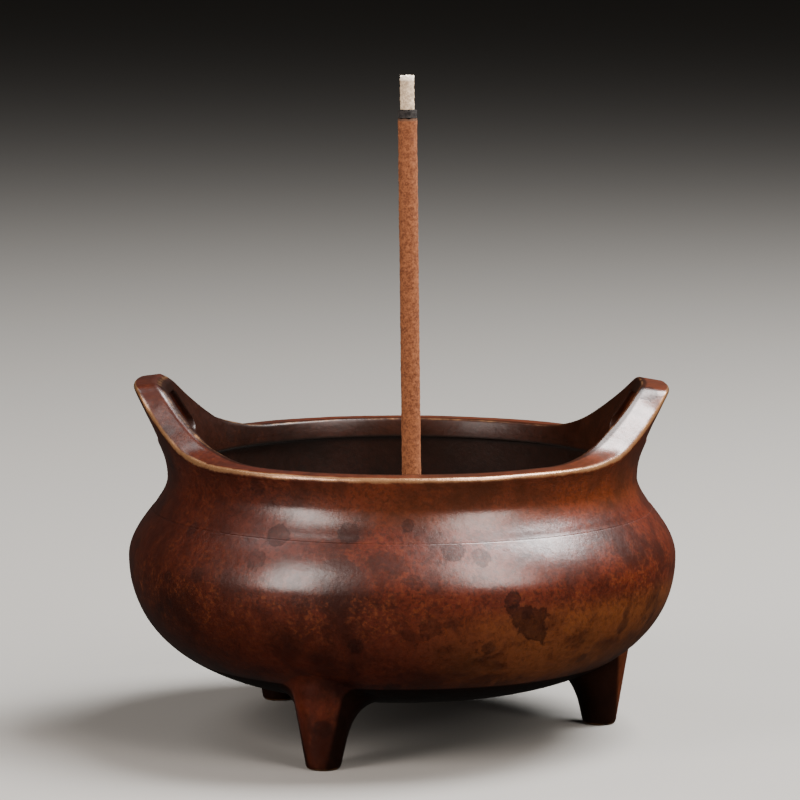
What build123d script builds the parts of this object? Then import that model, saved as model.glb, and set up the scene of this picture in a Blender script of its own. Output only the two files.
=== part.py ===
from build123d import *
import os

# Small three-footed incense burner with two rising ears, a bed of ash and a burning stick.
# Millimetres, +Z up. The origin is on the surface the feet stand on, under the middle of the
# bowl. The ears are on +X and -X.

os.makedirs("parts", exist_ok=True)

# ---- driving dimensions ----

# bowl
belly_radius = 40.0          # widest radius of the bowl
belly_height = 26.3          # height of the widest line
base_height = 7.3            # height of the bowl's underside
base_radius = 12.4           # flat middle of the underside
lower_fullness = 0.61        # curve handle as a share of the span; 0.55 would be an ellipse
crease_radius = 36.5         # outside of the joint between bowl and neck
crease_height = 33.3
shoulder_slope = 38.0        # degrees from vertical, where the shoulder meets the crease
shoulder_handle = 2.6
wall = 2.8                   # cast wall of the bowl
inner_mouth_drop = 1.7       # how far below the crease the inside starts to narrow to the spigot

# neck and lip
waist_radius = 34.25         # narrowest outside radius of the neck
waist_height = 37.7
hollow_pull = 1.6            # how far the hollow below the waist runs straight down before it spreads
neck_inner_radius = 31.3     # below the lip the neck is thinner, so the lip overhangs inside
lip_inner_radius = 30.5
lip_underside_height = 39.3
lip_height = 42.25
lip_outer_round = 1.1
lip_inner_round = 0.5
spigot_length = 1.8          # the neck ring's collar inside the bowl's mouth
spigot_radius = 33.6

# ears
ear_lean = 23.5              # degrees that the ears lean outwards
outer_flare_radius = 11.0    # curve that turns the upright neck into the leaning ear
inner_flare_radius = 13.0
inner_flare_start = 39.0
ear_top = 51.9
ear_top_half_width = 6.4
ear_root_half_width = 19.3   # where the straight flank would meet the lip
ear_root_blend = 14.0        # hollow curve from flank to lip
ear_corner_round = 1.0
ear_seat_height = 40.4       # underside of the ear's rim segment
ear_joint_x = 16.1           # end faces of the ear's rim segment
hole_bottom = 43.5
hole_top = 49.5
hole_bottom_half_width = 9.0
hole_top_half_width = 5.7
hole_round = 1.6
peg_radius = 0.8
peg_length = 2.2
peg_ring_radius = 32.7
peg_angles = (-35.0, 35.0)   # degrees round from the ear's middle

# feet
foot_ring_radius = 29.6
foot_angles = {"right_foot": 8.5, "rear_foot": 129.5, "front_foot": -112.0}
foot_bottom_radius = 2.4
foot_taper = 11.0            # degrees that the side leans from vertical
foot_flare_start = 7.5       # above this the foot spreads to meet the bowl
foot_flare_end = 15.0
foot_flare_radius = 6.2
foot_edge_round = 0.5
foot_blank_height = 16.5     # tall enough to reach into the bowl before it is trimmed
tenon_radius = 2.0
tenon_top = 12.3

# ash and stick
ash_level = 31.0             # at the wall
mound_height = 38.5          # at the stick
mound_radius = 21.0
stick_radius = 1.45
stick_lean = 0.66            # degrees towards -X
stick_foot = (1.56, 0.0, 18.5)
stick_length = 71.4          # unburnt part
ember_length = 1.2
ember_radius = 1.4
ash_tip_length = 5.0
ash_tip_radius = 1.05

joint_gap = 0.05             # brazing gap round spigots, tenons and pegs; also the stick's fit
seam_angle = 68.5            # turned shapes start here, between two feet

turning_plane = Plane.XZ.rotated((0, 0, seam_angle))


# ---- shared shapes ----

def bowl_outline(widest, bottom, mouth_radius, mouth_height, handle):
    """Half section of a bowl, from the axis: flat bottom, full lower curve, shoulder, mouth."""
    across = lower_fullness * (widest - base_radius)
    up = lower_fullness * (belly_height - bottom)
    with BuildLine() as outline:
        Line((0, bottom), (base_radius, bottom))
        Bezier(
            (base_radius, bottom),
            (base_radius + across, bottom),
            (widest, belly_height - up),
            (widest, belly_height),
        )
        shoulder_end = Vector(mouth_radius, mouth_height)
        shoulder_direction = Vector(0, -1).rotate(Axis.Z, shoulder_slope)
        Bezier(
            (widest, belly_height),
            (widest, belly_height + handle),
            shoulder_end + shoulder_direction * handle,
            shoulder_end,
        )
        Line((mouth_radius, mouth_height), (0, mouth_height))
        Line((0, mouth_height), (0, bottom))
    return outline.edges()


def flare_outline(top):
    """Section of the neck wall above the waist, turning outwards into the lean of the ears."""
    with BuildLine() as outline:
        outer = JernArc((waist_radius, waist_height), (0, 1), outer_flare_radius, -ear_lean)
        outer_side = PolarLine(outer @ 1, top - (outer @ 1).Y, 90 - ear_lean,
                               length_mode=LengthMode.VERTICAL)
        inner = JernArc((lip_inner_radius, inner_flare_start), (0, 1), inner_flare_radius, -ear_lean)
        inner_side = PolarLine(inner @ 1, top - (inner @ 1).Y, 90 - ear_lean,
                               length_mode=LengthMode.VERTICAL)
        Line(outer_side @ 1, inner_side @ 1)
        Polyline(inner @ 0, (lip_inner_radius, waist_height), outer @ 0)
    return outline.edges()


# ---- bowl ----

inner_mouth_height = crease_height - inner_mouth_drop
spigot_bore = spigot_radius + joint_gap

with BuildPart() as bowl_envelope:
    with BuildSketch(turning_plane):
        make_face(bowl_outline(belly_radius, base_height, crease_radius, crease_height, shoulder_handle))
    revolve(axis=Axis.Z)

with BuildPart() as belly_bowl:
    add(bowl_envelope.part)
    with BuildSketch(turning_plane):
        make_face(bowl_outline(belly_radius - wall, base_height + wall, spigot_bore,
                               inner_mouth_height, shoulder_handle))
    revolve(axis=Axis.Z, mode=Mode.SUBTRACT)
    with BuildSketch(Plane.XY.offset(inner_mouth_height)):
        Circle(spigot_bore)
    extrude(amount=wall, mode=Mode.SUBTRACT)
    # blind sockets for the feet's tenons
    with BuildSketch(Plane.XY):
        for angle in foot_angles.values():
            with PolarLocations(foot_ring_radius, 1, start_angle=angle):
                Circle(tenon_radius + joint_gap)
    extrude(amount=tenon_top + joint_gap, mode=Mode.SUBTRACT)
belly_bowl.part.label = "belly_bowl"
export_step(belly_bowl.part, "parts/belly_bowl.step")


# ---- neck ring ----

with BuildPart() as neck_ring:
    with BuildSketch(turning_plane):
        make_face(flare_outline(ear_top))
        with BuildLine():
            # hollow curve from the waist down to the crease, upright at the waist
            hollow = Bezier(
                (waist_radius, waist_height),
                (waist_radius, waist_height - hollow_pull),
                (crease_radius, crease_height),
            )
            Polyline(
                hollow @ 1,
                (spigot_radius, crease_height),
                (spigot_radius, crease_height - spigot_length),
                (neck_inner_radius, crease_height - spigot_length),
                (neck_inner_radius, lip_underside_height),
                (lip_inner_radius, lip_underside_height),
                (lip_inner_radius, lip_height),
                (waist_radius, lip_height),
                hollow @ 0,
            )
        make_face()
    revolve(axis=Axis.Z)
    # level the lip
    with BuildSketch(Plane.XY.offset(lip_height)):
        Circle(belly_radius)
    extrude(amount=ear_top, mode=Mode.SUBTRACT)
    # clear the space under the lip
    with BuildSketch(Plane.XY.offset(crease_height - spigot_length)):
        Circle(neck_inner_radius)
    extrude(amount=lip_underside_height - crease_height + spigot_length, mode=Mode.SUBTRACT)
    lip_edges = neck_ring.edges().filter_by(GeomType.CIRCLE).group_by(Axis.Z)[-1].sort_by(SortBy.RADIUS)
    fillet(lip_edges[-1], lip_outer_round)
    lip_edges = neck_ring.edges().filter_by(GeomType.CIRCLE).group_by(Axis.Z)[-1].sort_by(SortBy.RADIUS)
    fillet(lip_edges[0], lip_inner_round)
    # seats for the ears, and the holes for their pegs
    seat_length = belly_radius - ear_joint_x
    with BuildSketch(Plane.XY.offset(ear_seat_height)):
        with Locations((ear_joint_x + seat_length / 2, 0), (-ear_joint_x - seat_length / 2, 0)):
            Rectangle(seat_length, 2 * belly_radius)
    extrude(amount=ear_top, mode=Mode.SUBTRACT)
    with BuildSketch(Plane.XY.offset(ear_seat_height)):
        for side in (0, 180):
            for angle in peg_angles:
                with PolarLocations(peg_ring_radius, 1, start_angle=side + angle):
                    Circle(peg_radius + joint_gap)
    extrude(amount=-peg_length - joint_gap, mode=Mode.SUBTRACT)
neck_ring.part.label = "neck_ring"
export_step(neck_ring.part, "parts/neck_ring.step")


# ---- ears ----

with BuildPart() as right_ear:
    with BuildSketch(turning_plane):
        make_face(flare_outline(ear_top + wall))
    revolve(axis=Axis.Z)
    # outline seen from the side: level top, sloping flanks, hollow curves into the lip
    with BuildSketch(Plane.YZ.offset(ear_joint_x)) as ear_outline:
        with BuildLine():
            Polyline(
                (-belly_radius, ear_seat_height),
                (belly_radius, ear_seat_height),
                (belly_radius, lip_height),
                (ear_root_half_width, lip_height),
                (ear_top_half_width, ear_top),
                (-ear_top_half_width, ear_top),
                (-ear_root_half_width, lip_height),
                (-belly_radius, lip_height),
                close=True,
            )
        make_face()
        corners = ear_outline.vertices().group_by(Axis.Y)
        fillet(corners[-1], ear_corner_round)
        roots = ear_outline.vertices().group_by(Axis.Y)[1].sort_by(Axis.X)
        fillet(roots[1:-1], ear_root_blend)
    extrude(amount=belly_radius, mode=Mode.INTERSECT)
    # finger hole
    with BuildSketch(Plane.YZ) as hole_outline:
        with BuildLine():
            Polyline(
                (-hole_bottom_half_width, hole_bottom),
                (hole_bottom_half_width, hole_bottom),
                (hole_top_half_width, hole_top),
                (-hole_top_half_width, hole_top),
                close=True,
            )
        make_face()
        fillet(hole_outline.vertices(), hole_round)
    extrude(amount=belly_radius, mode=Mode.SUBTRACT)
    # locating pegs
    with BuildSketch(Plane.XY.offset(ear_seat_height)):
        for angle in peg_angles:
            with PolarLocations(peg_ring_radius, 1, start_angle=angle):
                Circle(peg_radius)
    extrude(amount=-peg_length)
right_ear.part.label = "right_ear"
export_step(right_ear.part, "parts/right_ear.step")

with BuildPart() as left_ear:
    add(right_ear.part)
    mirror(about=Plane.YZ, mode=Mode.REPLACE)
left_ear.part.label = "left_ear"
export_step(left_ear.part, "parts/left_ear.step")


# ---- feet ----

for name, angle in foot_angles.items():
    foot_axis = Axis.Z.located(Location((0, 0, 0), (0, 0, angle)) * Location((foot_ring_radius, 0, 0)))
    foot_plane = Plane(
        origin=foot_axis.position,
        x_dir=Vector(1, 0, 0).rotate(Axis.Z, angle),
        z_dir=Vector(0, -1, 0).rotate(Axis.Z, angle),
    )
    with BuildPart() as foot:
        with BuildSketch(foot_plane):
            with BuildLine():
                side = PolarLine((foot_bottom_radius, 0), foot_flare_start, 90 - foot_taper,
                                 length_mode=LengthMode.VERTICAL)
                flare = TangentArc(side @ 1, (foot_flare_radius, foot_flare_end), tangent=side % 1)
                Polyline(flare @ 1, (foot_flare_radius, foot_blank_height), (0, foot_blank_height),
                         (0, 0), side @ 0)
            make_face()
        revolve(axis=foot_axis)
        fillet(foot.edges().group_by(Axis.Z)[0], foot_edge_round)
        add(bowl_envelope.part, mode=Mode.SUBTRACT)
        with BuildSketch(Plane.XY.offset(base_height)):
            with PolarLocations(foot_ring_radius, 1, start_angle=angle):
                Circle(tenon_radius)
        extrude(amount=tenon_top - base_height)
    foot.part.label = name
    export_step(foot.part, f"parts/{name}.step")


# ---- stick ----

stick_plane = Plane(
    origin=stick_foot,
    x_dir=(0, 1, 0),
    z_dir=Vector(0, 0, 1).rotate(Axis.Y, -stick_lean),
)

with BuildPart() as incense_stick:
    with BuildSketch(stick_plane):
        Circle(stick_radius)
    extrude(amount=stick_length)
incense_stick.part.label = "incense_stick"
export_step(incense_stick.part, "parts/incense_stick.step")

with BuildPart() as ember_band:
    with BuildSketch(stick_plane.offset(stick_length)):
        Circle(ember_radius)
    extrude(amount=ember_length)
ember_band.part.label = "ember_band"
export_step(ember_band.part, "parts/ember_band.step")

with BuildPart() as ash_tip:
    with BuildSketch(stick_plane.offset(stick_length + ember_length)):
        Circle(ash_tip_radius)
    extrude(amount=ash_tip_length)
ash_tip.part.label = "ash_tip"
export_step(ash_tip.part, "parts/ash_tip.step")


# ---- ash bed ----

with BuildPart() as ash_bed:
    with BuildSketch(turning_plane):
        make_face(bowl_outline(belly_radius - wall - joint_gap, base_height + wall + joint_gap,
                               spigot_bore, inner_mouth_height - joint_gap, shoulder_handle))
    revolve(axis=Axis.Z)
    with BuildSketch(Plane.XY.offset(ash_level)):
        Circle(belly_radius)
    extrude(amount=wall, mode=Mode.SUBTRACT)
    # ash heaped round the stick
    with BuildSketch(turning_plane):
        with BuildLine():
            Bezier(
                (0, mound_height),
                (mound_radius / 2, mound_height),
                (mound_radius / 2, ash_level),
                (mound_radius, ash_level),
            )
            Polyline((mound_radius, ash_level), (0, ash_level), (0, mound_height))
        make_face()
    revolve(axis=Axis.Z)
    with BuildSketch(stick_plane):
        Circle(stick_radius + joint_gap)
    extrude(amount=stick_length, mode=Mode.SUBTRACT)
ash_bed.part.label = "ash_bed"
export_step(ash_bed.part, "parts/ash_bed.step")
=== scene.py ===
# Three-footed bronze incense burner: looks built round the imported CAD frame.
# Lengths in the shape code are millimetres and become metres when a mesh is made.
import math

import bmesh
import bpy
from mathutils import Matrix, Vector, noise


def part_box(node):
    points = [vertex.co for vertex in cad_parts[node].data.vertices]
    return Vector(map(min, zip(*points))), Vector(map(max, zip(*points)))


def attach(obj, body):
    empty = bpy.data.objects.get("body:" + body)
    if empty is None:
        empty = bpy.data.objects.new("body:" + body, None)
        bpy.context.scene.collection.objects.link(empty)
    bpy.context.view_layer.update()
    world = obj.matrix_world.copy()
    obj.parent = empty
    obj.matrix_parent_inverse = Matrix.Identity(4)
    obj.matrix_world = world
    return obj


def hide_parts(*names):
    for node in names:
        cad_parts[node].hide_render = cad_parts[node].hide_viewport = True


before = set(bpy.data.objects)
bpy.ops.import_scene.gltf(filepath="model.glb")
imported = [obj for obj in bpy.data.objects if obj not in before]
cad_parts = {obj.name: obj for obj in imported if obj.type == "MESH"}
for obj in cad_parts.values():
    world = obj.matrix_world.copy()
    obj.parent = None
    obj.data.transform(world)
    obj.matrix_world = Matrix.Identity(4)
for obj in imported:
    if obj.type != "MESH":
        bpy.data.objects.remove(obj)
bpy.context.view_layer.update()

MM = 0.001


# ---- sizes, read from the CAD frame where it has them ----

def box_mm(node):
    low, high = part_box(node)
    return low / MM, high / MM


bowl_low, bowl_high = box_mm("belly_bowl")
_, ring_high = box_mm("neck_ring")
ear_low, ear_high = box_mm("right_ear")

BELLY_RADIUS = 40.0
BELLY_HEIGHT = 26.3
BASE_HEIGHT = bowl_low.z
BASE_RADIUS = 12.4
CREASE_HEIGHT = bowl_high.z
CREASE_RADIUS = 36.5
LOWER_FULLNESS = 0.61        # curve handle as a share of the span; 0.55 would be an ellipse
SHOULDER_SLOPE = math.radians(38)
SHOULDER_HANDLE = 2.6
WALL = 2.8
RIM_ROUND = 0.18             # outer edge of the bowl's mouth, at the seam
INNER_MOUTH_DROP = 1.7       # how far below the crease the inside starts to narrow to the spigot

WAIST_RADIUS = 34.25
WAIST_HEIGHT = 37.7
HOLLOW_PULL = 1.6            # how far the hollow below the waist runs straight down before it spreads
LIP_HEIGHT = ring_high.z
LIP_INNER_RADIUS = 30.5
LIP_UNDERSIDE = 39.3
NECK_INNER_RADIUS = 31.3
OUTER_FLARE = 11.0
INNER_FLARE = 13.0
INNER_FLARE_START = 39.0
EAR_LEAN = math.radians(23.5)

# by side, 1 for right and -1 for left
EAR_TOPS = {1: (ear_high.z - 0.25, 6.0), -1: (ear_high.z + 0.25, 6.8)}     # height and half width
EAR_EDGE_ROUND = {1: 0.5, -1: 1.25}      # how far each ear's inner edge is rubbed away
EAR_BEVEL = {1: 0.0, -1: 0.7}            # 0 round, 1 flat
EAR_ROOT_HALF = 19.3
EAR_BLEND = 14.0
EAR_SEAT = 40.4
EAR_JOINT_X = ear_low.x
HOLE_BOTTOM = 43.5
HOLE_TOP = 49.5
HOLE_BOTTOM_HALF = 9.0
HOLE_TOP_HALF = 5.7
HOLE_ROUND = 1.6

FOOT_RING = 29.6
FOOT_ANGLES = {"right_foot": 8.5, "rear_foot": 129.5, "front_foot": -112.0}
FOOT_BOTTOM = 2.4
FOOT_TAPER = {"outer": math.tan(math.radians(9.2)), "inner": math.tan(math.radians(13))}

JOINT_HAIR = 0.012           # width of the fine line where two castings meet
JOINT_GAP = 0.05


# ---- small tools ----

def smooth(edge0, edge1, x):
    t = min(1.0, max(0.0, (x - edge0) / (edge1 - edge0)))
    return t * t * (3 - 2 * t)


def lerp(a, b, t):
    return a + (b - a) * t


def bezier(p0, p1, p2, p3, count):
    points = []
    for i in range(count + 1):
        t = i / count
        s = 1 - t
        weights = (s ** 3, 3 * s * s * t, 3 * s * t * t, t ** 3)
        points.append(tuple(sum(w * p[k] for w, p in zip(weights, (p0, p1, p2, p3))) for k in (0, 1)))
    return points


def corner(a, b, c, count):
    """Rounded corner from a to c with b as its sharp point."""
    points = []
    for i in range(count + 1):
        t = i / count
        points.append(tuple((1 - t) ** 2 * a[k] + 2 * t * (1 - t) * b[k] + t * t * c[k] for k in (0, 1)))
    return points


def towards(a, b, distance):
    length = math.dist(a, b)
    return tuple(a[k] + (b[k] - a[k]) * distance / length for k in (0, 1))


def solve(function, low, high):
    """Height where a falling function crosses zero."""
    for _ in range(40):
        middle = (low + high) / 2
        if function(middle) > 0:
            low = middle
        else:
            high = middle
    return (low + high) / 2


HAND_WAVES = [               # height in mm, length in mm, start of the pattern
    (0.10, 21, (0, 0, 0)),
    (0.045, 8, (7, 3, 1)),
    (0.012, 2.2, (1, 9, 4)),
]


def hand_finish(point):
    """Slight waviness left by casting and hand filing, the same on every bronze piece."""
    p = Vector(point)
    out = Vector((p.x, p.y, 0))
    if out.length < 1:
        return p
    swell = sum(height * noise.noise(p / length + Vector(start)) for height, length, start in HAND_WAVES)
    return p + out.normalized() * swell


class Shape:
    """Points and faces of one piece in millimetres, collected before its mesh is made. Each point
    also has a number worn, 0 to 1: how rubbed the bronze is, or how burnt the end of the stick."""

    def __init__(self):
        self.points = []
        self.worn = []
        self.faces = []

    def row(self, points, worn=None):
        """Adds points and returns their numbers."""
        first = len(self.points)
        self.points += points
        self.worn += worn or [0.0] * len(points)
        return list(range(first, len(self.points)))

    def between(self, a, b):
        """Adds faces between two rows of equal length, which may share points."""
        for i in range(len(a) - 1):
            quad = [a[i], a[i + 1], b[i + 1], b[i]]
            corners = [v for k, v in enumerate(quad) if v != quad[k - 1]]
            if len(corners) > 2:
                self.faces.append(corners)

    def piece(self, name, material, body, node, sharp=32, finish=True):
        shaped = [hand_finish(p) if finish else Vector(p) for p in self.points]
        mesh = bpy.data.meshes.new(name)
        mesh.from_pydata([p * MM for p in shaped], [], self.faces)
        work = bmesh.new()
        work.from_mesh(mesh)
        bmesh.ops.recalc_face_normals(work, faces=work.faces)
        work.to_mesh(mesh)
        work.free()
        for polygon in mesh.polygons:
            polygon.use_smooth = True
        mesh.set_sharp_from_angle(angle=math.radians(sharp))
        layer = mesh.attributes.new("worn", "FLOAT", "POINT")
        layer.data.foreach_set("value", self.worn)
        mesh.materials.append(material)
        made = bpy.data.objects.new(name, mesh)
        bpy.context.scene.collection.objects.link(made)
        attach(made, body)
        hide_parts(node)
        return made


def turned(shape, steps, profile, place, worn=None):
    """Adds a profile of (radius, height) turned about an axis.

    place gives the position of a point from its angle, radius and height. The list worn has a number
    for each point of the profile."""
    turn = [2 * math.pi * i / steps for i in range(steps)]
    rings = []
    for (r, z), wear in zip(profile, worn or [0.0] * len(profile)):
        if r == 0:
            rings.append(shape.row([place(0.0, r, z)], [wear]) * (steps + 1))
        else:
            ring = shape.row([place(a, r, z) for a in turn], [wear] * steps)
            rings.append(ring + ring[:1])
    for lower, upper in zip(rings, rings[1:]):
        shape.between(lower, upper)


def resample(path, count, spread):
    """Points along a path; spread turns an even share of it, 0 to 1, into a place along it."""
    lengths = [0.0]
    for a, b in zip(path, path[1:]):
        lengths.append(lengths[-1] + math.dist(a, b))
    points = []
    k = 0
    for i in range(count + 1):
        wanted = spread(i / count) * lengths[-1]
        while k < len(path) - 2 and lengths[k + 1] < wanted:
            k += 1
        t = (wanted - lengths[k]) / (lengths[k + 1] - lengths[k])
        points.append(tuple(lerp(path[k][n], path[k + 1][n], t) for n in (0, 1)))
    return points


# ---- walls of the turned shapes ----

def bowl_curve(widest, bottom, mouth, count):
    """Outline of the bowl's wall from the flat underside to the mouth."""
    across = LOWER_FULLNESS * (widest - BASE_RADIUS)
    up = LOWER_FULLNESS * (BELLY_HEIGHT - bottom)
    slope = (math.sin(SHOULDER_SLOPE) * SHOULDER_HANDLE, -math.cos(SHOULDER_SLOPE) * SHOULDER_HANDLE)
    lower = bezier((BASE_RADIUS, bottom), (BASE_RADIUS + across, bottom),
                   (widest, BELLY_HEIGHT - up), (widest, BELLY_HEIGHT), count)
    upper = bezier((widest, BELLY_HEIGHT), (widest, BELLY_HEIGHT + SHOULDER_HANDLE),
                   (mouth[0] + slope[0], mouth[1] + slope[1]), mouth, count // 2)
    return lower + upper[1:]


bowl_wall = bowl_curve(BELLY_RADIUS, BASE_HEIGHT, (CREASE_RADIUS, CREASE_HEIGHT), 60)
bowl_lower = [p for p in bowl_wall if p[1] <= BELLY_HEIGHT]


def bowl_underside(radius):
    """Height of the bowl's outside below its widest line, at a radius."""
    if radius <= BASE_RADIUS:
        return BASE_HEIGHT
    for a, b in zip(bowl_lower, bowl_lower[1:]):
        if a[0] <= radius <= b[0]:
            return a[1] + (b[1] - a[1]) / (b[0] - a[0]) * (radius - a[0])
    return BELLY_HEIGHT


def wall_radius(z, start_radius, start_height, flare):
    """Upright wall that turns outwards on an arc and then leans at the ears' angle."""
    if z <= start_height:
        return start_radius
    arc_height = flare * math.sin(EAR_LEAN)
    if z <= start_height + arc_height:
        return start_radius + flare - math.sqrt(flare ** 2 - (z - start_height) ** 2)
    arc_end = start_radius + flare * (1 - math.cos(EAR_LEAN))
    return arc_end + (z - start_height - arc_height) * math.tan(EAR_LEAN)


def outer_radius(z):
    if z >= WAIST_HEIGHT:
        return wall_radius(z, WAIST_RADIUS, WAIST_HEIGHT, OUTER_FLARE)
    # hollow below the waist: a quadratic curve, so its place along z is solved directly
    drop = WAIST_HEIGHT - CREASE_HEIGHT
    bend = drop - 2 * HOLLOW_PULL
    t = (math.sqrt(HOLLOW_PULL ** 2 + bend * (WAIST_HEIGHT - z)) - HOLLOW_PULL) / bend
    return WAIST_RADIUS + (CREASE_RADIUS - WAIST_RADIUS) * t * t


def inner_radius(z):
    return wall_radius(z, LIP_INNER_RADIUS, INNER_FLARE_START, INNER_FLARE)


# ---- the rising edge of lip and ears ----

def edge_height(y, side):
    """Height of the ear's edge at a distance from the ear's middle, as seen from the side.
    Level top, sloping flank, then a hollow curve into the lip."""
    y = abs(y)
    top, top_half = EAR_TOPS[side]
    flank = math.atan2(top - LIP_HEIGHT, EAR_ROOT_HALF - top_half)
    reach = EAR_BLEND * math.tan(flank / 2)
    blend_end = EAR_ROOT_HALF + reach
    if y >= blend_end:
        return LIP_HEIGHT
    if y >= EAR_ROOT_HALF - reach * math.cos(flank):
        return LIP_HEIGHT + EAR_BLEND - math.sqrt(EAR_BLEND ** 2 - (blend_end - y) ** 2)
    fall = (y - top_half) * math.tan(flank)
    softness = 0.28
    return top - softness * math.log(1 + math.exp(min(40.0, fall / softness)))


# ---- slices through lip and ears ----

COLUMN_SPAN = 28.0


def ear_y(c, r):
    """Sideways place of slice c, -1 to 1, of an ear. Slices near the hole are flat planes, and
    the last ones follow the ear's straight ends."""
    end = math.sqrt(r * r - EAR_JOINT_X ** 2)
    return c * lerp(COLUMN_SPAN, end, smooth(0.4, 1.0, abs(c)))


def ear_place(c, r, z, side):
    y = ear_y(c, r)
    return side * math.sqrt(r * r - y * y), y, z


def lip_place(t, r, z, side):
    """Place on the level lip between the ears; t goes from the right ear, 0, to the left one, 1."""
    first = math.acos(EAR_JOINT_X / r)
    angle = lerp(first, math.pi - first, t)
    return r * math.cos(angle), side * r * math.sin(angle), z


def file_marks(place, phase):
    """Uneven hand filing along an edge, as a small height."""
    spot = Vector((place[0], place[1], phase * 30))
    return 0.10 * noise.noise(spot / 7) + 0.035 * noise.noise(spot / 1.6)


HIGHEST = ear_high.z + 2
OUTER_ARC_STEPS = 8
INNER_ARC_STEPS = 6
FACE_STEPS = 6
LIP_TO_EAR_RISE = 3.5        # the edge changes from the lip's shape to the ears' over this height
EDGE_DROP = (1.7, 0.6)       # how much lower the edge's outer side is, on the flank and at the top
OUTER_ROUND = (1.15, 0.8)    # on the lip and on the ears
LIP_INNER_ROUND = 0.5


def bevelled(sharp, a, b, share):
    """The sharp point moved a share of the way onto the straight line from a to b."""
    return tuple(lerp(sharp[k], (a[k] + b[k]) / 2, share) for k in (0, 1))


def rubbed_arc(steps, most):
    """How worn each point of a rounded edge is: most in its middle, and not at its ends."""
    return [most * math.sin(math.pi * i / steps) for i in range(steps + 1)]


def section_top(height_at, place):
    """Points over the top of the wall, from the outside to the inside, with how worn each is.

    The edge is filed square to the leaning wall, so on the ears its outer side is the lower one."""
    z_in = solve(lambda z: height_at(inner_radius(z)) - z, LIP_HEIGHT - 1, HIGHEST)
    rise = smooth(0.0, LIP_TO_EAR_RISE, z_in - LIP_HEIGHT)
    drop = rise * lerp(*EDGE_DROP, smooth(ear_high.z - 2.2, ear_high.z - 0.3, z_in))
    z_out = solve(lambda z: height_at(outer_radius(z)) - drop - z, LIP_HEIGHT - 1, HIGHEST)
    z_in += file_marks(place(inner_radius(z_in), 0), 3) * (0.5 + rise) - 0.05
    z_out += file_marks(place(outer_radius(z_out), 0), 8) * (0.5 + rise) - 0.05
    outer = (outer_radius(z_out), z_out)
    inner = (inner_radius(z_in), z_in)
    outer_round = lerp(*OUTER_ROUND, rise)
    side = 1 if place(LIP_INNER_RADIUS, 0)[0] > 0 else -1
    inner_round = lerp(LIP_INNER_ROUND, EAR_EDGE_ROUND[side], rise)
    below_outer = (outer_radius(z_out - outer_round), z_out - outer_round)
    below_inner = (inner_radius(z_in - inner_round), z_in - inner_round)
    outer_arc = corner(below_outer, outer, towards(outer, inner, outer_round), OUTER_ARC_STEPS)
    face_end = towards(inner, outer, inner_round)
    inner_sharp = bevelled(inner, face_end, below_inner, rise * EAR_BEVEL[side])
    inner_arc = corner(face_end, inner_sharp, below_inner, INNER_ARC_STEPS)
    face = [tuple(lerp(outer_arc[-1][k], inner_arc[0][k], i / FACE_STEPS) for k in (0, 1))
            for i in range(1, FACE_STEPS)]
    worn = rubbed_arc(OUTER_ARC_STEPS, 1.0) + [0.12] * len(face) + rubbed_arc(INNER_ARC_STEPS, 0.6)
    return outer_arc + face + inner_arc, worn


def up_wall(radius_at, low, high, count):
    return [(radius_at(z), z) for z in (lerp(low, high, i / count) for i in range(count + 1))]


# ---- finger hole, as seen from the side ----

HOLE_SIDE = math.atan2(HOLE_TOP - HOLE_BOTTOM, HOLE_BOTTOM_HALF - HOLE_TOP_HALF)
# centres of the hole's rounded corners: distance from the ear's middle, height
LOW_ARC = (HOLE_BOTTOM_HALF - HOLE_ROUND / math.tan(HOLE_SIDE / 2), HOLE_BOTTOM + HOLE_ROUND)
HIGH_ARC = (HOLE_TOP_HALF - HOLE_ROUND * math.tan(HOLE_SIDE / 2), HOLE_TOP - HOLE_ROUND)
HOLE_NOSE = LOW_ARC[0] + HOLE_ROUND


def hole_span(y):
    """Lowest and highest point of the finger hole at a distance from the ear's middle."""
    low = HOLE_BOTTOM
    if y > LOW_ARC[0]:
        low = LOW_ARC[1] - math.sqrt(max(0.0, HOLE_ROUND ** 2 - (y - LOW_ARC[0]) ** 2))
    side_reach = HOLE_ROUND * math.sin(HOLE_SIDE)
    if y <= HIGH_ARC[0]:
        high = HOLE_TOP
    elif y <= HIGH_ARC[0] + side_reach:
        high = HIGH_ARC[1] + math.sqrt(HOLE_ROUND ** 2 - (y - HIGH_ARC[0]) ** 2)
    elif y <= LOW_ARC[0] + side_reach:
        high = HOLE_BOTTOM + (HOLE_BOTTOM_HALF - y) * math.tan(HOLE_SIDE)
    else:
        high = LOW_ARC[1] + math.sqrt(max(0.0, HOLE_ROUND ** 2 - (y - LOW_ARC[0]) ** 2))
    return low, high


def hole_edge(radius_at, start, edge, other, soft):
    """Path along the wall from start to the hole's rounded edge, and on to the middle of its side."""
    sign = 1 if edge > start else -1
    wall_end = edge - sign * soft
    wall = up_wall(radius_at, start, wall_end, 12)
    sharp = (radius_at(edge), edge)
    inside = towards(sharp, (other, edge), soft)
    half_bend = 4
    bend = corner(wall[-1], sharp, inside, 2 * half_bend)
    return wall[:-1] + bend[:half_bend + 1], bend[half_bend:] + [((sharp[0] + other) / 2, edge)]


# ---- ears ----

def to_end(s):
    return 1 - (1 - s) ** 2


def both_ends(s):
    return 0.5 - 0.5 * math.cos(math.pi * s)


HOLE_SLICES = 30             # on each side of the ear's middle
FLANK_SLICES = 56
LOW_STEPS = 12               # up the wall below the hole
HIGH_STEPS = 14              # from the edge down to the hole
SIDE_STEPS = 14              # through the wall, over the hole's side
HOLE_SOFT = 0.45             # rounding of the hole's edges

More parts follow.
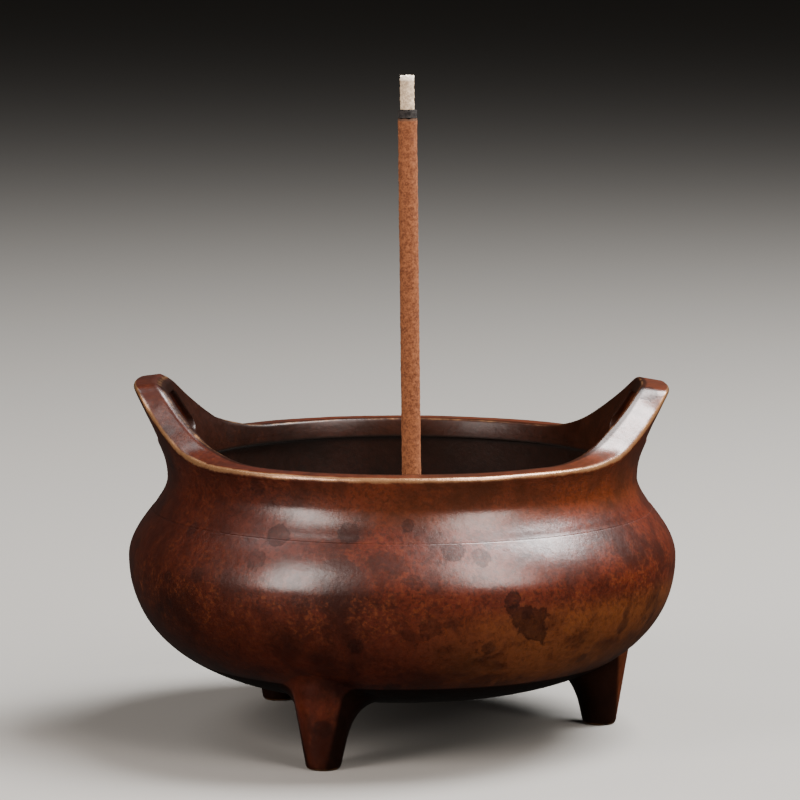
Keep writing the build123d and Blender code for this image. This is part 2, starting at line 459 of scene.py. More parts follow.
nose_slice = HOLE_NOSE / COLUMN_SPAN
hole_slices = [nose_slice * math.sin(math.pi / 2 * k / HOLE_SLICES)
               for k in range(-HOLE_SLICES, HOLE_SLICES + 1)]
flank_slices = [lerp(nose_slice, 1.0, k / FLANK_SLICES) for k in range(1, FLANK_SLICES + 1)]
slices = [-c for c in reversed(flank_slices)] + hole_slices + flank_slices


def ear_slice(shape, c, side, bottom):
    """Adds one slice of an ear and returns its rows of points."""
    def place(r, z):
        return ear_place(c, r, z, side)

    def row(path, worn=None):
        return shape.row([place(r, z) for r, z in path], worn)

    top, worn = section_top(lambda r: edge_height(ear_y(c, r), side), place)
    top_row = row(top, worn)
    y = abs(c) * COLUMN_SPAN
    rows = {"top": top_row}
    in_hole = y <= HOLE_NOSE + 1e-6
    at_nose = abs(y - HOLE_NOSE) < 1e-6
    if in_hole:
        low, high = hole_span(min(y, HOLE_NOSE))
        soft = max(1e-3, min(HOLE_SOFT, (high - low) / 4))
    else:
        low = lerp(LOW_ARC[1], (bottom + LIP_HEIGHT) / 2, smooth(HOLE_NOSE, 16, y))
        high = low
    ends = {}
    for name, radius_at, high_start in (("outer", outer_radius, top[0]), ("inner", inner_radius, top[-1])):
        across = inner_radius if name == "outer" else outer_radius
        if in_hole:
            low_wall, low_side = hole_edge(radius_at, bottom, low, across(low), soft)
            high_wall, high_side = hole_edge(radius_at, high_start[1], high, across(high), soft)
        else:
            low_wall, low_side = up_wall(radius_at, bottom, low, LOW_STEPS), None
            high_wall, high_side = up_wall(radius_at, high_start[1], high, LOW_STEPS), None
        low_points = resample(low_wall, LOW_STEPS, to_end)
        high_points = resample(high_wall, HIGH_STEPS, to_end)
        low_row = row(low_points)
        if in_hole and not at_nose:
            high_end = row(high_points[-1:])
        else:
            high_end = low_row[-1:]
        first = top_row[:1] if name == "outer" else top_row[-1:]
        high_row = first + row(high_points[1:-1]) + high_end
        rows[name + "_low"] = low_row
        rows[name + "_high"] = high_row
        ends[name] = (low_side, high_side)
    if in_hole:
        sides = []
        for k, key in enumerate(("_low", "_high")):
            path = ends["outer"][k] + list(reversed(ends["inner"][k]))[1:]
            middle = resample(path, SIDE_STEPS, both_ends)[1:-1]
            middle_row = row(middle, [0.2] * len(middle))
            sides.append(rows["outer" + key][-1:] + middle_row + rows["inner" + key][-1:])
            if at_nose:
                sides.append(sides[0])
                break
        rows["sill"], rows["lintel"] = sides[:2]
    under = [(lerp(outer_radius(bottom), inner_radius(bottom), k / 4), bottom) for k in range(1, 4)]
    rows["under"] = rows["outer_low"][:1] + row(under) + rows["inner_low"][:1]
    return rows


def make_ear(name, side, material):
    shape = Shape()
    bottom = EAR_SEAT + JOINT_HAIR
    cuts = [ear_slice(shape, c, side, bottom) for c in slices]
    for a, b in zip(cuts, cuts[1:]):
        for key in sorted(set(a) & set(b)):
            shape.between(a[key], b[key])
    for end in (cuts[0], cuts[-1]):
        loop = end["outer_low"] + end["outer_high"][-2::-1] + end["top"][1:]
        loop += end["inner_high"][1:] + end["inner_low"][-2::-1] + end["under"][-2:0:-1]
        shape.faces.append(loop)
    return shape.piece(name + "_skin", material, "burner", name)


# ---- neck ring ----

INNER_EDGE_ROUND = 0.22
UNDERCUT_ROUND = (0.3, 0.4)  # inner corner under the lip: across and down
SEAM_STEP = 0.09             # how far the ring stands back from the bowl's rim at the seam
SEAM_BLEND = 1.1
SEAM_TOP = CREASE_HEIGHT + 1.2
SPIGOT_RADIUS = 33.6
SPIGOT_LOW = CREASE_HEIGHT - 1.8
LIP_STEPS = 150              # round the level lip, from one ear to the other
SEAT_STEPS = 24


def seam_wall(z):
    return outer_radius(z) - SEAM_STEP * (1 - smooth(0.0, SEAM_BLEND, z - CREASE_HEIGHT))


def ring_inside():
    """Outline inside the ring, from the ears' seat down to the spigot and out to the crease."""
    across, down = UNDERCUT_ROUND
    edge_end = (LIP_INNER_RADIUS, LIP_UNDERSIDE + INNER_EDGE_ROUND)
    path = up_wall(inner_radius, EAR_SEAT, edge_end[1], 4)[:-1]
    path += corner(edge_end, (LIP_INNER_RADIUS, LIP_UNDERSIDE),
                   (LIP_INNER_RADIUS + INNER_EDGE_ROUND, LIP_UNDERSIDE), 5)
    neck_start = (NECK_INNER_RADIUS, LIP_UNDERSIDE - down)
    path += corner((NECK_INNER_RADIUS - across, LIP_UNDERSIDE), (NECK_INNER_RADIUS, LIP_UNDERSIDE),
                   neck_start, 4)
    path += [(NECK_INNER_RADIUS, lerp(neck_start[1], SPIGOT_LOW, k / 10)) for k in range(1, 11)]
    return path + [(SPIGOT_RADIUS, SPIGOT_LOW), (SPIGOT_RADIUS, CREASE_HEIGHT)]


def make_ring(material):
    """Neck and level lip in upright columns, with a flat seat instead of the lip under each ear."""
    shape = Shape()
    outer_path = up_wall(seam_wall, CREASE_HEIGHT, SEAM_TOP, 6)[:-1]
    outer_path += up_wall(outer_radius, SEAM_TOP, EAR_SEAT, 22)
    inner_path = ring_inside()
    seat = [(lerp(outer_radius(EAR_SEAT), inner_radius(EAR_SEAT), k / SEAT_STEPS), EAR_SEAT)
            for k in range(SEAT_STEPS + 1)]
    columns = []

    def lip_top(place):
        top, worn = section_top(lambda r: LIP_HEIGHT, place)
        outer_wall = up_wall(outer_radius, EAR_SEAT, top[0][1], 2)[:-1]
        inner_wall = up_wall(inner_radius, EAR_SEAT, top[-1][1], 2)[:-1]
        return outer_wall + top + list(reversed(inner_wall)), [0, 0] + worn + [0, 0]

    def add_column(place, zones):
        outer = shape.row([place(r, z) for r, z in outer_path])
        inner = shape.row([place(r, z) for r, z in inner_path])
        tops = []
        for zone in zones:
            if zone == "seat":
                path, worn = seat, [0.0] * len(seat)
            else:
                path, worn = lip_top(place)
            middle = shape.row([place(r, z) for r, z in path[1:-1]], worn[1:-1])
            tops.append(outer[-1:] + middle + inner[:1])
        columns.append((outer, inner, tops))

    for side in (1, -1):
        for c in slices[1:-1]:
            add_column(lambda r, z: ear_place(c * side, r, z, side), ["seat"])
        add_column(lambda r, z: lip_place(0 if side > 0 else 1, r, z, side), ["seat", "lip"])
        for k in range(1, LIP_STEPS):
            t = k / LIP_STEPS if side > 0 else 1 - k / LIP_STEPS
            add_column(lambda r, z: lip_place(t, r, z, side), ["lip"])
        add_column(lambda r, z: lip_place(1 if side > 0 else 0, r, z, side), ["lip", "seat"])
    for a, b in zip(columns, columns[1:] + columns[:1]):
        shape.between(a[0], b[0])
        shape.between(a[1], b[1])
        shape.between(a[2][-1], b[2][0])
        shape.between([a[1][-1], a[0][0]], [b[1][-1], b[0][0]])
    for _, _, tops in columns:
        if len(tops) == 2:
            shape.between(tops[0], tops[1])
    return shape.piece("neck_ring_skin", material, "burner", "neck_ring")


# ---- bowl ----

def on_axis(angle, r, z):
    return r * math.cos(angle), r * math.sin(angle), z


def make_bowl(material):
    """Turned shell, from the middle of its underside up over the rim and down inside."""
    shape = Shape()
    mouth_radius = SPIGOT_RADIUS + JOINT_GAP
    underside = [(BASE_RADIUS * k / 6, BASE_HEIGHT) for k in range(6)]
    wall_end = (CREASE_RADIUS, CREASE_HEIGHT)
    wall = [p for p in bowl_wall if p[1] < CREASE_HEIGHT - RIM_ROUND]
    rim = corner(towards(wall_end, wall[-1], RIM_ROUND), wall_end, (CREASE_RADIUS - 0.3, CREASE_HEIGHT), 6)
    inner_mouth = (mouth_radius, CREASE_HEIGHT - INNER_MOUTH_DROP)
    inner = bowl_curve(BELLY_RADIUS - WALL, BASE_HEIGHT + WALL, inner_mouth, 26)
    inner_floor = [(BASE_RADIUS * k / 4, BASE_HEIGHT + WALL) for k in range(3, -1, -1)]
    profile = underside + wall + rim + [(mouth_radius, CREASE_HEIGHT)] + list(reversed(inner)) + inner_floor
    turned(shape, 360, profile, on_axis)
    return shape.piece("belly_bowl_skin", material, "burner", "belly_bowl")


# ---- feet ----

# each pair is for the foot's outer side and for its side towards the bowl's middle
FILLET_REACH = (0.7, 4.6)    # how far the hollow fillet runs out onto the bowl
FILLET_DROP = (1.4, 6.6)     # how far below the bowl it starts
FOOT_EDGE = 0.6              # rounding at the ground
SOLE_INSET = 1.4             # how far inside the edge the sole's flat face begins
FOOT_STEPS = 72
TOE_STEPS = 6


def surface_height(spot):
    return bowl_underside(min(math.hypot(*spot), BELLY_RADIUS - 0.4))


def foot_outline(centre, way):
    """Points of (distance from the foot's middle, height) along one side, from the ground to just
    inside the bowl."""
    inwards = smooth(-0.85, 0.75, -way.dot(centre.normalized()))
    taper = lerp(FOOT_TAPER["outer"], FOOT_TAPER["inner"], inwards)

    def side_radius(z):
        return FOOT_BOTTOM + z * taper

    meet_z = solve(lambda z: surface_height(centre + way * side_radius(z)) - z, 5, 24)
    meet_r = side_radius(meet_z)
    end_r = meet_r + lerp(*FILLET_REACH, inwards)
    end_z = surface_height(centre + way * end_r) + 0.04
    start_z = max(2.6, meet_z - lerp(*FILLET_DROP, inwards))
    toe = corner((FOOT_BOTTOM - 0.55, 0.0), (FOOT_BOTTOM, 0.0), (side_radius(FOOT_EDGE), FOOT_EDGE),
                 TOE_STEPS)
    side = [(side_radius(z), z) for z in (lerp(FOOT_EDGE, start_z, k / 12) for k in range(1, 12))]
    fillet = corner((side_radius(start_z), start_z), (meet_r, meet_z), (end_r, end_z), 16)
    return [(FOOT_BOTTOM - SOLE_INSET, 0.0)] + toe + side + fillet + [(end_r - 0.3, end_z + 0.5)]


def make_foot(name, angle, material):
    """Tapered peg whose side runs out onto the bowl in a hollow fillet."""
    shape = Shape()
    centre = Vector((FOOT_RING * math.cos(angle), FOOT_RING * math.sin(angle)))
    rows = []
    for i in range(FOOT_STEPS):
        a = angle + 2 * math.pi * i / FOOT_STEPS
        way = Vector((math.cos(a), math.sin(a)))
        path = foot_outline(centre, way)
        worn = [0.0] + rubbed_arc(TOE_STEPS, 0.75)
        worn += [0.0] * (len(path) - len(worn))
        rows.append(shape.row([(*(centre + way * r), z) for r, z in path], worn))
    for a, b in zip(rows, rows[1:] + rows[:1]):
        shape.between(a, b)
    shape.faces.append([row[0] for row in rows])
    shape.faces.append([row[-1] for row in rows])
    return shape.piece(name + "_skin", material, "burner", name)


# ---- ash ----

ASH_RADIUS = 33.2
ASH_LEVEL = 29.85            # at the wall
ASH_UNDERSIDE = 26.5         # hidden in the bowl
ASH_RINGS = 150
ASH_STEPS = 260
HEAP_HEIGHT = 6.5            # round the stick's foot
HEAP_RADIUS = 7.5
SWELL_HEIGHT = 1.6           # broad rise towards the middle
SWELL_RADIUS = 15.0
POWDER = [(0.30, 3.1), (0.16, 1.1), (0.08, 0.45)]        # height and length of its lumps, in mm


def ash_place(angle, r, z):
    """Place on the powdery surface, or on the underside where z is given."""
    x, y, _ = on_axis(angle, r, 0.0)
    if z is not None:
        return x, y, z
    heap = HEAP_HEIGHT * math.exp(-(r / HEAP_RADIUS) ** 2.2)
    swell = SWELL_HEIGHT * math.exp(-(r / SWELL_RADIUS) ** 2)
    uneven = 0.7 * noise.noise(Vector((math.cos(angle) * 2.2, math.sin(angle) * 2.2, r / 9)))
    lumps = sum(height * noise.noise(Vector((x, y, 0)) / length) for height, length in POWDER)
    return x, y, ASH_LEVEL + heap * (1 + 0.12 * uneven) + swell * (0.6 + 0.4 * uneven) + lumps


def make_ash(material):
    """Powdery bed with a small heap round the stick's foot."""
    shape = Shape()
    surface = [(ASH_RADIUS * (k / ASH_RINGS) ** 0.8, None) for k in range(ASH_RINGS + 1)]
    underside = [(ASH_RADIUS, ASH_UNDERSIDE), (0.0, ASH_UNDERSIDE)]
    turned(shape, ASH_STEPS, surface + underside, ash_place)
    return shape.piece("ash_bed_skin", material, "burner", "ash_bed", sharp=60, finish=False)


# ---- stick, ember and its own ash ----

STICK_LEAN = math.radians(0.66)          # to the left
STICK_FOOT = Vector((1.56, 0.0, 18.5))
STICK_LENGTH = 71.4
STICK_RADIUS = 1.41
EMBER_LENGTH = 1.2
EMBER_RADIUS = 1.38
ASH_TIP_LENGTH = 5.0
ASH_TIP_RADIUS = 1.02
END_GAP = 0.05               # room for each segment's ragged end
stick_way = Vector((-math.sin(STICK_LEAN), 0.0, math.cos(STICK_LEAN)))
stick_out = Vector((math.cos(STICK_LEAN), 0.0, math.sin(STICK_LEAN)))


def on_stick(angle, r, along):
    across = stick_out * math.cos(angle) + Vector((0, 1, 0)) * math.sin(angle)
    return tuple(STICK_FOOT + stick_way * along + across * r)


def grain(angle, along, size, phase):
    spot = Vector((math.cos(angle) * STICK_RADIUS, math.sin(angle) * STICK_RADIUS, along + phase))
    return noise.noise(spot / size)


def make_rod(name, node, material, low, high, radius, steps, spacing, rough, end_rough, band):
    """Round stick segment with a granular side, from low to high along the stick.

    Its upper end is ragged by end_rough, and a band of the given length there is marked for the
    material's end colour."""
    def place(angle, r, along):
        if r == 0:
            return on_stick(0, 0, along)
        bumps = rough * (0.6 * grain(angle, along, 0.8, 0) + 0.55 * grain(angle, along, 0.33, 40))
        swell = 0.035 * noise.noise(Vector((0, 0, along / 5 + 90)))
        ragged = grain(angle, 0, 0.7, 7) + 0.6 * noise.noise(Vector((angle, r * 3, 5))) - 0.5
        lift = end_rough * smooth(high - 0.6, high, along) * ragged
        return on_stick(angle, r + (bumps + swell) * r / radius - 0.02, along + lift)

    shape = Shape()
    count = max(3, round((high - low) / spacing))
    inside = [0.0, radius * 0.5, radius * 0.85]          # radii of the points on its end faces
    profile = [(r, low) for r in inside]
    profile += [(radius, lerp(low, high, k / count)) for k in range(count + 1)]
    profile += [(r, high) for r in reversed(inside)]
    marked = [smooth(high - band, high - 0.4 * band, along) for _, along in profile]
    turned(shape, steps, profile, place, marked)
    return shape.piece(name, material, "stick", node, sharp=70, finish=False)


# ---- materials ----

def add_node(tree, kind, inputs=None, **settings):
    made = tree.nodes.new(kind)
    for key, value in settings.items():
        setattr(made, key, value)
    for key, value in (inputs or {}).items():
        if isinstance(value, bpy.types.NodeSocket):
            tree.links.new(value, made.inputs[key])
        else:
            made.inputs[key].default_value = value
    return made


def new_material(name):
    made = bpy.data.materials.new(name)
    made.use_nodes = True
    return made, made.node_tree, made.node_tree.nodes["Principled BSDF"]


def place_in(tree, seed=(0, 0, 0)):
    """Object coordinates in millimetres, shifted so that each pattern is its own."""
    where = add_node(tree, "ShaderNodeTexCoord").outputs["Object"]
    scale = (1 / MM, 1 / MM, 1 / MM)
    return add_node(tree, "ShaderNodeMapping", {"Vector": where, "Location": seed, "Scale": scale}).outputs[0]


def cloud(tree, size, detail, rough, seed, distortion=0.0):
    """Soft noise, about 0 to 1, with features of the given size in millimetres."""
    settings = {"Vector": place_in(tree, seed), "Scale": 1.0 / size, "Detail": detail, "Roughness": rough,
                "Distortion": distortion}
    return add_node(tree, "ShaderNodeTexNoise", settings).outputs["Fac"]


def scattered(tree, size, seed):
    """Distance from the nearest of many scattered points, and a random value for each."""
    made = add_node(tree, "ShaderNodeTexVoronoi", {"Vector": place_in(tree, seed), "Scale": 1.0 / size})
    return made.outputs["Distance"], made.outputs["Color"]


def between(tree, value, low, high, out_low=0.0, out_high=1.0):
    """The value's place from low to high, eased at both ends, as a value from out_low to out_high."""
    settings = {"Value": value, "From Min": low, "From Max": high, "To Min": out_low, "To Max": out_high}
    made = add_node(tree, "ShaderNodeMapRange", settings, interpolation_type="SMOOTHSTEP")
    return made.outputs["Result"]


def maths(tree, operation, a, b=0.0):
    return add_node(tree, "ShaderNodeMath", {0: a, 1: b}, operation=operation, use_clamp=False).outputs[0]


def times(tree, a, b):
    return maths(tree, "MULTIPLY", a, b)


def plus(tree, a, b):
    return maths(tree, "ADD", a, b)


def minus(tree, a, b):
    return maths(tree, "SUBTRACT", a, b)


def larger(tree, a, b):
    return maths(tree, "MAXIMUM", a, b)


def near(tree, value, middle, far, close):
    """1 where the value is within close of the middle, fading to 0 at far."""
    return between(tree, maths(tree, "ABSOLUTE", minus(tree, value, middle)), far, close)


def vector_maths(tree, operation, a, b=(0, 0, 0)):
    """A vector operation whose result is a number."""
    return add_node(tree, "ShaderNodeVectorMath", {0: a, 1: b}, operation=operation).outputs["Value"]


def mix(tree, share, a, b, blend="MIX"):
    def colour(value):
        return (*value, 1.0) if isinstance(value, tuple) else value
    settings = {0: share, 6: colour(a), 7: colour(b)}
    made = add_node(tree, "ShaderNodeMix", settings, data_type="RGBA", blend_type=blend)
    return made.outputs[2]


def connect(tree, value, socket):
    tree.links.new(value, socket)


# ---- bronze ----

DARK = (0.0190, 0.0030, 0.0009)
RED = (0.066, 0.0086, 0.0018)
ORANGE = (0.115, 0.026, 0.0050)
MAROON = (0.0085, 0.0020, 0.0014)
OCHRE = (0.135, 0.038, 0.0050)
# near-black painted shade for the inside of the mouth
INSIDE_SHADE = (0.0035, 0.0014, 0.0006)
BARE = (0.27, 0.135, 0.058)
UNDERSIDE_SHADE = (0.64, 0.60, 0.46)

STAINS = [                   # centre in mm, radius, how dark
    ((15.1, -37.0, 25.6), 1.1, 0.7),
    ((6.9, -36.5, 32.1), 1.6, 0.75),
    ((10.8, -36.2, 31.3), 1.45, 0.6),
    ((1.6, -39.5, 28.5), 1.1, 0.5),
    ((3.8, -39.3, 22.1), 1.5, 0.45),
    ((-20.3, -32.7, 30.5), 1.5, 0.5),
    ((0.8, -34.5, 35.4), 1.0, 0.6),
    ((-7.2, -34.3, 34.2), 1.7, 0.7),
    ((-17.0, -31.5, 33.5), 1.9, 0.7),
    ((35.4, -6.9, 50.6), 1.4, 0.9),
]
PATCH = [(14.5, 24.5), (19.7, 23.8), (19.3, 19.0), (16.2, 20.9)]      # its corners seen from the front


class Spot:
    """A place on the bronze in millimetres, and the noises that its colours share."""

    def __init__(self, tree):
        self.place = place_in(tree)
        self.x, self.y, self.z = add_node(tree, "ShaderNodeSeparateXYZ", {0: self.place}).outputs
        self.broad = cloud(tree, 13, 3, 0.6, (3, 8, 2))
        self.medium = cloud(tree, 4.2, 5, 0.62, (31, 5, 9), 0.4)
        self.fine = cloud(tree, 1.1, 4, 0.62, (11, 2, 40))
        self.grainy = cloud(tree, 0.42, 3, 0.6, (5, 5, 5))


def mottled_brown_with_left_shade(tree, spot):
    """Ground colour: dark and red brown in two sizes of mottling, with painted shade darkening the left side.
    """
    base = mix(tree, between(tree, spot.broad, 0.30, 0.66), DARK, RED)
    base = mix(tree, between(tree, spot.medium, 0.46, 0.66, 0.0, 0.62), base, RED)
    base = mix(tree, between(tree, spot.medium, 0.50, 0.34, 0.0, 0.48), base, DARK)
    # painted shade: the left side is darkened towards DARK
    return mix(tree, between(tree, spot.x, -10, -34, 0.0, 0.62), base, DARK)


def ochre_share(tree, spot):
    """Ochre low on the right of the belly, and faintly on the foot there."""
    low = times(tree, between(tree, spot.z, 25.5, 21.5), between(tree, spot.z, 9, 15, 0.35, 1.0))
    share = times(tree, between(tree, spot.x, -4, 22), low)
    return times(tree, share, between(tree, spot.medium, 0.30, 0.56, 0.40, 1.0))


def speckled(tree, spot, base):
    """Orange grains, most in a band under the widest line, then dark specks and pits."""
    band = times(tree, between(tree, spot.z, 28, 25), between(tree, spot.z, 19, 22))
    threads = between(tree, cloud(tree, 0.60, 4, 0.66, (4, 2, 7), 0.25), 0.46, 0.66)
    grains = times(tree, threads, between(tree, spot.medium, 0.36, 0.60))
    grains = times(tree, grains, plus(tree, times(tree, band, 0.40), 0.28))
    base = mix(tree, grains, base, ORANGE)
    specks = between(tree, cloud(tree, 0.62, 3, 0.60, (14, 22, 3), 0.2), 0.50, 0.40)
    specks = times(tree, specks, between(tree, spot.z, 20, 27, 0.22, 0.60))
    base = mix(tree, specks, base, DARK)
    pits = times(tree, between(tree, spot.fine, 0.52, 0.36), between(tree, spot.grainy, 0.56, 0.40))
    return mix(tree, times(tree, pits, 0.50), base, DARK)


def dropped(tree, spot, base):
    """Round dark drops scattered all over."""
    far, pick = scattered(tree, 4.6, (1, 6, 3))
    chosen = between(tree, add_node(tree, "ShaderNodeSeparateColor", {0: pick}).outputs[0], 0.62, 0.66)
    edge = plus(tree, far, times(tree, spot.medium, 0.35))
    drop = times(tree, chosen, between(tree, edge, 0.50, 0.42))
    return mix(tree, times(tree, drop, 0.45), base, MAROON)


def shaded(tree, spot, base, ochre):
    """A little ochre on the neck, and a darker underside where there is no ochre."""
    neck = times(tree, between(tree, spot.z, 34.0, 37.0), between(tree, spot.x, -22, 0))
    base = mix(tree, times(tree, neck, 0.14), base, OCHRE)
    under = times(tree, between(tree, spot.z, 27, 17), between(tree, ochre, 1.0, 0.0, 0.45, 1.0))
    under = times(tree, under, between(tree, spot.z, 8, 12, 0.15, 1.0))
    return mix(tree, under, base, UNDERSIDE_SHADE, "MULTIPLY")


def stain_share(tree, spot, wobble, centre, radius, depth):
    """One round stain with a darker edge."""
    away = plus(tree, vector_maths(tree, "DISTANCE", spot.place, centre), wobble)
    inside = between(tree, away, radius + 0.3, radius - 0.35, 0.0, depth * 0.72)
    ring = near(tree, away, radius - 0.2, 0.40, 0.05)
    return larger(tree, inside, times(tree, ring, depth * 0.88))


def patch_share(tree, spot, wobble):
    """The angular patch on the front: the largest distance past any of its sides is negative inside."""
    outside = None
    for (x0, z0), (x1, z1) in zip(PATCH, PATCH[1:] + PATCH[:1]):
        length = math.hypot(x1 - x0, z1 - z0)
        across = ((z0 - z1) / length, 0.0, (x1 - x0) / length)
        along = vector_maths(tree, "DOT_PRODUCT", spot.place, across)
        past = minus(tree, along, across[0] * x0 + across[2] * z0)
        outside = larger(tree, outside, past) if outside else past
    outside = plus(tree, outside, wobble)
    inside = between(tree, outside, 0.25, -0.35, 0.0, 0.62)
    edge = times(tree, near(tree, outside, 0.0, 0.50, 0.05), 0.70)
    return times(tree, larger(tree, inside, edge), between(tree, spot.y, -20, -24))


def stained(tree, spot, base):
    """Adds the stains and the patch, and gives their largest share as well."""
    wobble = times(tree, minus(tree, spot.fine, 0.5), 1.9)
    shares = [stain_share(tree, spot, wobble, *stain) for stain in STAINS]
    shares.append(patch_share(tree, spot, wobble))
    most = 0.0
    for share in shares:
        base = mix(tree, share, base, MAROON)
        most = larger(tree, share, most)
    return base, most


def inside_shade_shares(tree, spot):
    """How much painted shade darkens the inner faces of lip and ears, and the deeper inside of neck and bowl.
    """
    flat = add_node(tree, "ShaderNodeCombineXYZ", {0: spot.x, 1: spot.y}).outputs[0]
    from_axis = vector_maths(tree, "LENGTH", flat)
    leaning = times(tree, larger(tree, minus(tree, spot.z, 41.0), 0.0), 0.41)
    from_axis_upright = minus(tree, from_axis, leaning)
    inner_face = times(tree, between(tree, from_axis_upright, 31.5, 31.1), between(tree, spot.z, 38.5, 39.0))
    within = times(tree, between(tree, from_axis, 32.2, 31.6), between(tree, spot.z, 39.9, 39.4))
    return inner_face, within


def rubbed_share(tree, spot):
    worn = add_node(tree, "ShaderNodeAttribute", attribute_name="worn").outputs["Fac"]
    rubbed = plus(tree, worn, times(tree, minus(tree, spot.medium, 0.5), 0.9))
    rubbed = plus(tree, rubbed, times(tree, minus(tree, spot.fine, 0.5), 0.6))
    return between(tree, rubbed, 0.45, 1.15)


def make_bronze():
    """Brown wax patina on bronze: grainy red-brown, ochre low on the right, painted shade inside the mouth,
    on the left and on the underside, dark drops and one angular patch, and bare metal where the rims are
    rubbed."""
    made, tree, shader = new_material("bronze_patina")
    spot = Spot(tree)
    ochre = ochre_share(tree, spot)
    base = mix(tree, times(tree, ochre, 0.75), mottled_brown_with_left_shade(tree, spot), OCHRE)
    base = speckled(tree, spot, base)
    base = dropped(tree, spot, base)
    base = shaded(tree, spot, base, ochre)
    base, stain = stained(tree, spot, base)
    inner_face, within = inside_shade_shares(tree, spot)
    # painted shade: the inner faces of lip and ears and the deep inside are darkened nearly to black
    base = mix(tree, times(tree, inner_face, 0.78), base, INSIDE_SHADE)
    base = mix(tree, times(tree, within, 0.9), base, INSIDE_SHADE)
    rubbed = rubbed_share(tree, spot)
    base = mix(tree, rubbed, base, BARE)
    connect(tree, base, shader.inputs["Base Color"])

    rough = plus(tree, times(tree, spot.medium, 0.20), times(tree, spot.fine, 0.16))
    rough = minus(tree, plus(tree, rough, 0.24), times(tree, rubbed, 0.12))
    connect(tree, rough, shader.inputs["Roughness"])
    connect(tree, plus(tree, times(tree, rubbed, 0.6), 0.10), shader.inputs["Metallic"])
    shader.inputs["Specular IOR Level"].default_value = 0.12

    shaded_inside = larger(tree, within, times(tree, inner_face, 0.85))
    wax = minus(tree, 1.0, times(tree, shaded_inside, 0.95))
    wax = times(tree, wax, between(tree, stain, 0.0, 0.8, 1.0, 0.55))
    wax = times(tree, wax, between(tree, spot.fine, 0.36, 0.60, 0.82, 1.0))
    connect(tree, wax, shader.inputs["Coat Weight"])
    shader.inputs["Coat IOR"].default_value = 1.45
    shader.inputs["Coat Roughness"].default_value = 0.29

    grit = plus(tree, times(tree, spot.grainy, 0.35), times(tree, spot.fine, 0.9))
    grit = plus(tree, grit, spot.medium)
    for strength, socket in ((0.45, "Normal"), (0.18, "Coat Normal")):
        bump = add_node(tree, "ShaderNodeBump", {"Height": grit, "Strength": strength, "Distance": 0.14 * MM})
        connect(tree, bump.outputs[0], shader.inputs[socket])
    return made


# ---- incense and ash ----

def make_powder(name, pale, dark, size, rough=0.95, bump_mm=0.12, end=None):
    """Dry granular stuff: two colours by noise, with a grainy surface and perhaps an end colour."""
    made, tree, shader = new_material(name)
    coarse = cloud(tree, size * 2.6, 4, 0.6, (2, 7, 1))
    grainy = cloud(tree, size, 4, 0.7, (9, 3, 5))
    share = plus(tree, times(tree, coarse, 0.4), times(tree, grainy, 0.6))
    base = mix(tree, between(tree, share, 0.36, 0.64), dark, pale)
    if end:
        marked = add_node(tree, "ShaderNodeAttribute", attribute_name="worn").outputs["Fac"]
        base = mix(tree, times(tree, marked, 0.85), base, end)
    connect(tree, base, shader.inputs["Base Color"])
    shader.inputs["Roughness"].default_value = rough
    shader.inputs["Specular IOR Level"].default_value = 0.2
    bump = add_node(tree, "ShaderNodeBump", {"Height": grainy, "Strength": 0.6, "Distance": bump_mm * MM})
    connect(tree, bump.outputs[0], shader.inputs["Normal"])
    return made


def make_stick():
    """The unburnt stick, its ember and the ash that still stands on it, one above the other."""
    ember_start = STICK_LENGTH
    ash_start = ember_start + EMBER_LENGTH
    ash_end = ash_start + ASH_TIP_LENGTH
    incense = make_powder("pressed_incense", (0.202, 0.070, 0.026), (0.079, 0.0215, 0.0070), 0.28,
                          rough=0.8, bump_mm=0.05, end=(0.055, 0.030, 0.018))
    char = make_powder("char", (0.030, 0.026, 0.024), (0.008, 0.007, 0.007), 0.3, bump_mm=0.05)
    white_ash = make_powder("white_ash", (0.54, 0.42, 0.29), (0.25, 0.18, 0.12), 0.34,
                            bump_mm=0.07, end=(0.78, 0.70, 0.58))
    make_rod("incense_stick_body", "incense_stick", incense, 0, ember_start - END_GAP,
             STICK_RADIUS, steps=56, spacing=0.17, rough=0.075, end_rough=0.15, band=0.5)
    make_rod("ember_char", "ember_band", char, ember_start, ash_start - END_GAP,
             EMBER_RADIUS, steps=48, spacing=0.12, rough=0.09, end_rough=0.15, band=0.3)
    make_rod("ash_column", "ash_tip", white_ash, ash_start, ash_end - END_GAP,
             ASH_TIP_RADIUS, steps=48, spacing=0.13, rough=0.11, end_rough=0.22, band=1.0)


bronze = make_bronze()
make_bowl(bronze)
make_ring(bronze)
make_ear("right_ear", 1, bronze)
make_ear("left_ear", -1, bronze)
for foot_name, foot_angle in FOOT_ANGLES.items():
    make_foot(foot_name, math.radians(foot_angle), bronze)
make_ash(make_powder("burner_ash", (0.22, 0.205, 0.19), (0.08, 0.072, 0.066), 0.7))
make_stick()


# ---- floor, light and camera ----

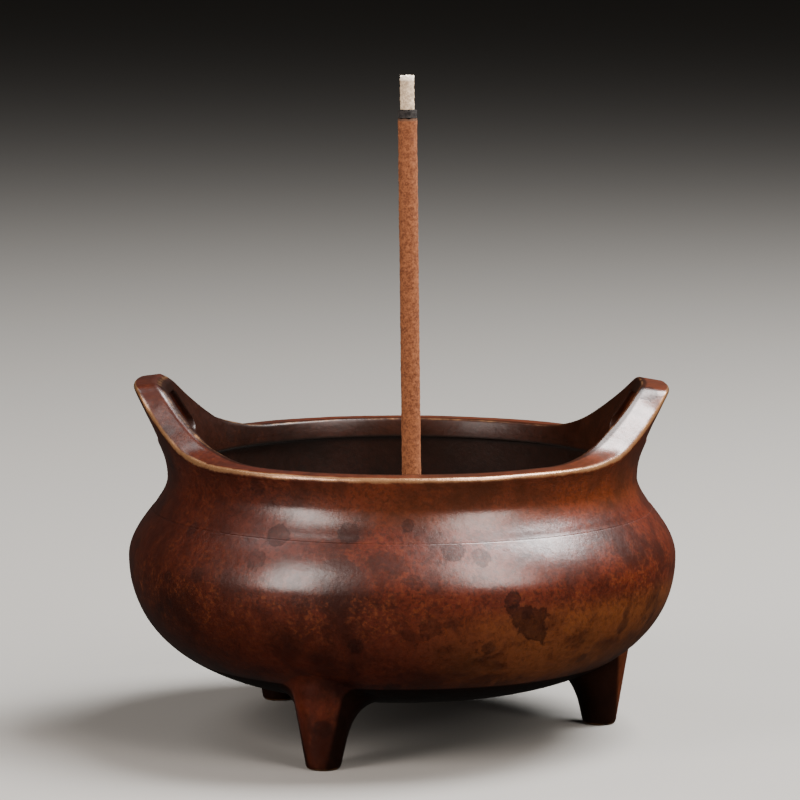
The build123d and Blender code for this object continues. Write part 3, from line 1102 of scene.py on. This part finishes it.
FLOOR_REACH = 12.0           # metres, as all lengths below
FLOOR_COLOUR = (0.215, 0.205, 0.190, 1)
LIGHT_TARGET = Vector((0, 0, 0.03))
LIGHT_DISTANCE = 0.75
WARM = (1.0, 0.92, 0.87)
WHITE = (1.0, 1.0, 1.0)
LIGHTS = [                   # name, azimuth, elevation, width and height, power, colour
    ("left_softbox", -48, 24, (0.25, 0.58), 8.6, WARM),
    ("front_right_softbox", 41, 35, (0.29, 0.54), 8.4, WARM),
    ("right_softbox", 98, 60, (0.34, 0.44), 26.0, WHITE),
    ("left_fill", -98, 58, (0.28, 0.28), 1.2, WHITE),
]
SURROUNDINGS = (1.0, 0.93, 0.86, 1)
SURROUNDINGS_STRENGTH = 0.03
CAMERA_PLACE = (-0.00034, -0.5851, 0.1205)
CAMERA_DOWN = 0.122          # radians that it looks down
CAMERA_LENS = 181.9          # mm, on a sensor 36 mm wide


def make_floor():
    made, _, shader = new_material("plain_floor")
    shader.inputs["Base Color"].default_value = FLOOR_COLOUR
    shader.inputs["Roughness"].default_value = 0.85
    mesh = bpy.data.meshes.new("floor")
    ways = ((-1, -1), (1, -1), (1, 1), (-1, 1))
    mesh.from_pydata([(x * FLOOR_REACH, y * FLOOR_REACH, 0) for x, y in ways], [], [(0, 1, 2, 3)])
    mesh.materials.append(made)
    floor = bpy.data.objects.new("floor", mesh)
    bpy.context.scene.collection.objects.link(floor)
    floor.visible_glossy = False     # mirrored in the wax, it would wash out the dark underside


def soft_light(name, azimuth, elevation, size, power, colour):
    """Rectangular area light. Azimuth 0 is the camera's side and 90 the right."""
    a, e = math.radians(azimuth), math.radians(elevation)
    away = Vector((math.sin(a) * math.cos(e), -math.cos(a) * math.cos(e), math.sin(e)))
    data = bpy.data.lights.new(name, "AREA")
    data.shape = "RECTANGLE"
    data.size, data.size_y = size
    data.energy = power
    data.color = colour
    light = bpy.data.objects.new(name, data)
    light.location = LIGHT_TARGET + away * LIGHT_DISTANCE
    light.rotation_mode = "QUATERNION"
    light.rotation_quaternion = away.to_track_quat("Z", "Y")
    bpy.context.scene.collection.objects.link(light)


def make_surroundings():
    world = bpy.data.worlds.new("studio")
    world.use_nodes = True
    background = world.node_tree.nodes["Background"]
    background.inputs["Color"].default_value = SURROUNDINGS
    background.inputs["Strength"].default_value = SURROUNDINGS_STRENGTH
    bpy.context.scene.world = world


def make_camera():
    data = bpy.data.cameras.new("camera")
    data.lens = CAMERA_LENS
    data.sensor_width = 36
    data.clip_start = 0.01
    data.clip_end = 100
    camera = bpy.data.objects.new("camera", data)
    camera.location = CAMERA_PLACE
    camera.rotation_euler = (math.pi / 2 - CAMERA_DOWN, 0, 0)
    bpy.context.scene.collection.objects.link(camera)
    bpy.context.scene.camera = camera


make_floor()
for light_settings in LIGHTS:
    soft_light(*light_settings)
make_surroundings()
make_camera()
